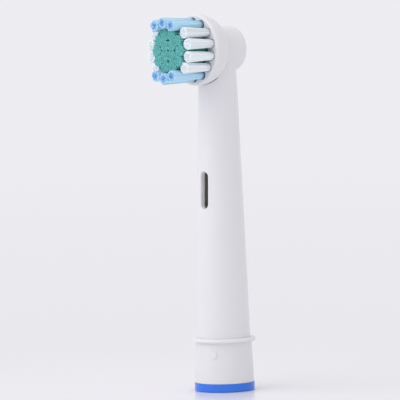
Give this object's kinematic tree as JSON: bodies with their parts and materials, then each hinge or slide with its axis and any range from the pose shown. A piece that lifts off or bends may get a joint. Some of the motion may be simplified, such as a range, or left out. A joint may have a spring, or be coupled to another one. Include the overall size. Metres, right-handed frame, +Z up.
{
  "type": "electric toothbrush head",
  "caption": "Electric toothbrush head: a round bristle disc that swings on a tapered white neck with a drain slot, and a collar with a blue ring that fits over the handle.",
  "frame": {"origin": "centre of the flat under the blue ring, on the neck axis", "axes": "+Z up the neck axis towards the head, -Y the way the bristles point, +X to the right seen from the bristle side"},
  "size_m": [0.0142, 0.021, 0.0752],
  "materials": {
    "white_plastic": "satin moulded white",
    "rod_plastic": "natural white, dull",
    "blue_plastic": "clear-tinted blue, glossy",
    "steel": "bright drawn steel",
    "brass": "plain",
    "white_nylon": "milky filaments",
    "blue_nylon": "light blue filaments",
    "green_nylon": "sea green filaments"
  },
  "bodies": {
    "neck": {"neck_housing": "white_plastic", "base_collar": "white_plastic", "colour_ring": "blue_plastic", "disc_axle": "steel", "retaining_pin": "steel"},
    "disc": {"bristle_disc": "white_plastic", "tuft_anchors": "brass", "white_tuft_1": "white_nylon", "white_tuft_2": "white_nylon", "white_tuft_3": "white_nylon", "white_tuft_4": "white_nylon", "white_tuft_5": "white_nylon", "white_tuft_6": "white_nylon", "white_tuft_7": "white_nylon", "white_tuft_8": "white_nylon", "blue_tuft_1": "blue_nylon", "blue_tuft_2": "blue_nylon", "blue_tuft_3": "blue_nylon", "blue_tuft_4": "blue_nylon", "blue_tuft_5": "blue_nylon", "blue_tuft_6": "blue_nylon", "green_tuft_1": "green_nylon", "green_tuft_2": "green_nylon", "green_tuft_3": "green_nylon", "green_tuft_4": "green_nylon", "green_tuft_5": "green_nylon", "green_tuft_6": "green_nylon", "green_tuft_7": "green_nylon", "green_tuft_8": "green_nylon", "green_tuft_9": "green_nylon", "green_tuft_10": "green_nylon", "green_tuft_11": "green_nylon", "green_tuft_12": "green_nylon", "green_tuft_13": "green_nylon", "green_tuft_14": "green_nylon"},
    "drive": {"drive_rod": "rod_plastic", "crank_pin": "steel", "shaft_clip": "steel"}
  },
  "joints": [
    {"name": "rod_turn", "type": "hinge", "parent": "neck", "child": "drive", "pos_m": [0, 0, 0.0157], "axis": [0, 0, 1], "range_deg": [-25, 25]},
    {"name": "disc_swing", "type": "hinge", "parent": "neck", "child": "disc", "pos_m": [0, 0, 0.06815], "axis": [0, -1, 0], "range_deg": [-22.9, 22.9]}
  ],
  "couplings": [
    {"joint": "disc_swing", "follows": "rod_turn", "ratio": 0.916}
  ]
}
